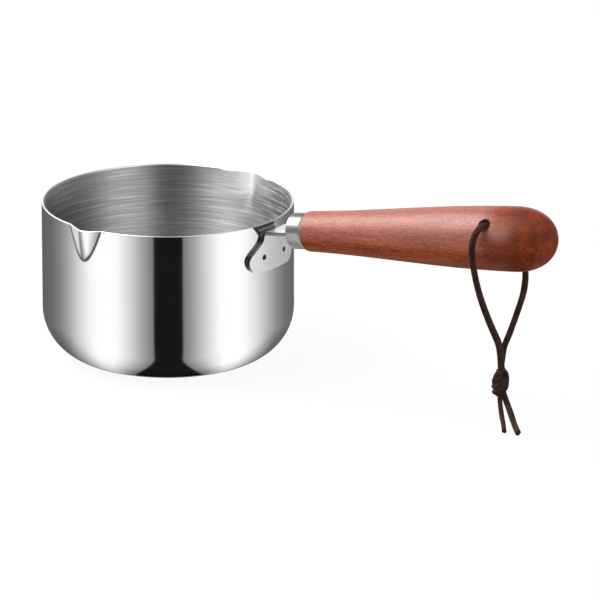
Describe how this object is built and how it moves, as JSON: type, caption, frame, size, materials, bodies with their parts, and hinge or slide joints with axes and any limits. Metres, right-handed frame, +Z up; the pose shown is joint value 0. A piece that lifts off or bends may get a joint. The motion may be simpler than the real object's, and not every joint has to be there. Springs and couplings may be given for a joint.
{
  "type": "butter warmer",
  "caption": "Small polished steel pot with pinched pouring spouts, a welded bracket, a turned wooden handle and a knotted leather hanging cord.",
  "frame": {"origin": "centre of the pot's flat base, on its underside", "axes": "+X along the handle away from the pot, +Z up, +Y to the left when looking along the handle"},
  "size_m": [0.197, 0.0886, 0.0755],
  "materials": {
    "polished_steel": "stainless steel, mirror-polished outside, finely brushed inside",
    "satin_steel": "satin",
    "zinc_steel": "zinc plated",
    "red_wood": "reddish brown hardwood, oiled and smooth",
    "dark_leather": "dark brown lace, matt"
  },
  "bodies": {
    "warmer": {"pot_body": "polished_steel", "handle_bracket": "satin_steel", "ferrule": "satin_steel", "handle_stud": "zinc_steel", "wooden_handle": "red_wood"},
    "hanging_cord": {"cord_front_leg": "dark_leather", "cord_rear_leg": "dark_leather", "cord_knot": "dark_leather", "cord_front_tail": "dark_leather", "cord_rear_tail": "dark_leather"}
  },
  "joints": [
    {"name": "cord_swing", "type": "hinge", "parent": "warmer", "child": "hanging_cord", "pos_m": [0.13398, 0, 0.06382], "axis": [0.0867, 0.788, -0.6095], "range_deg": [-55, 38]}
  ]
}
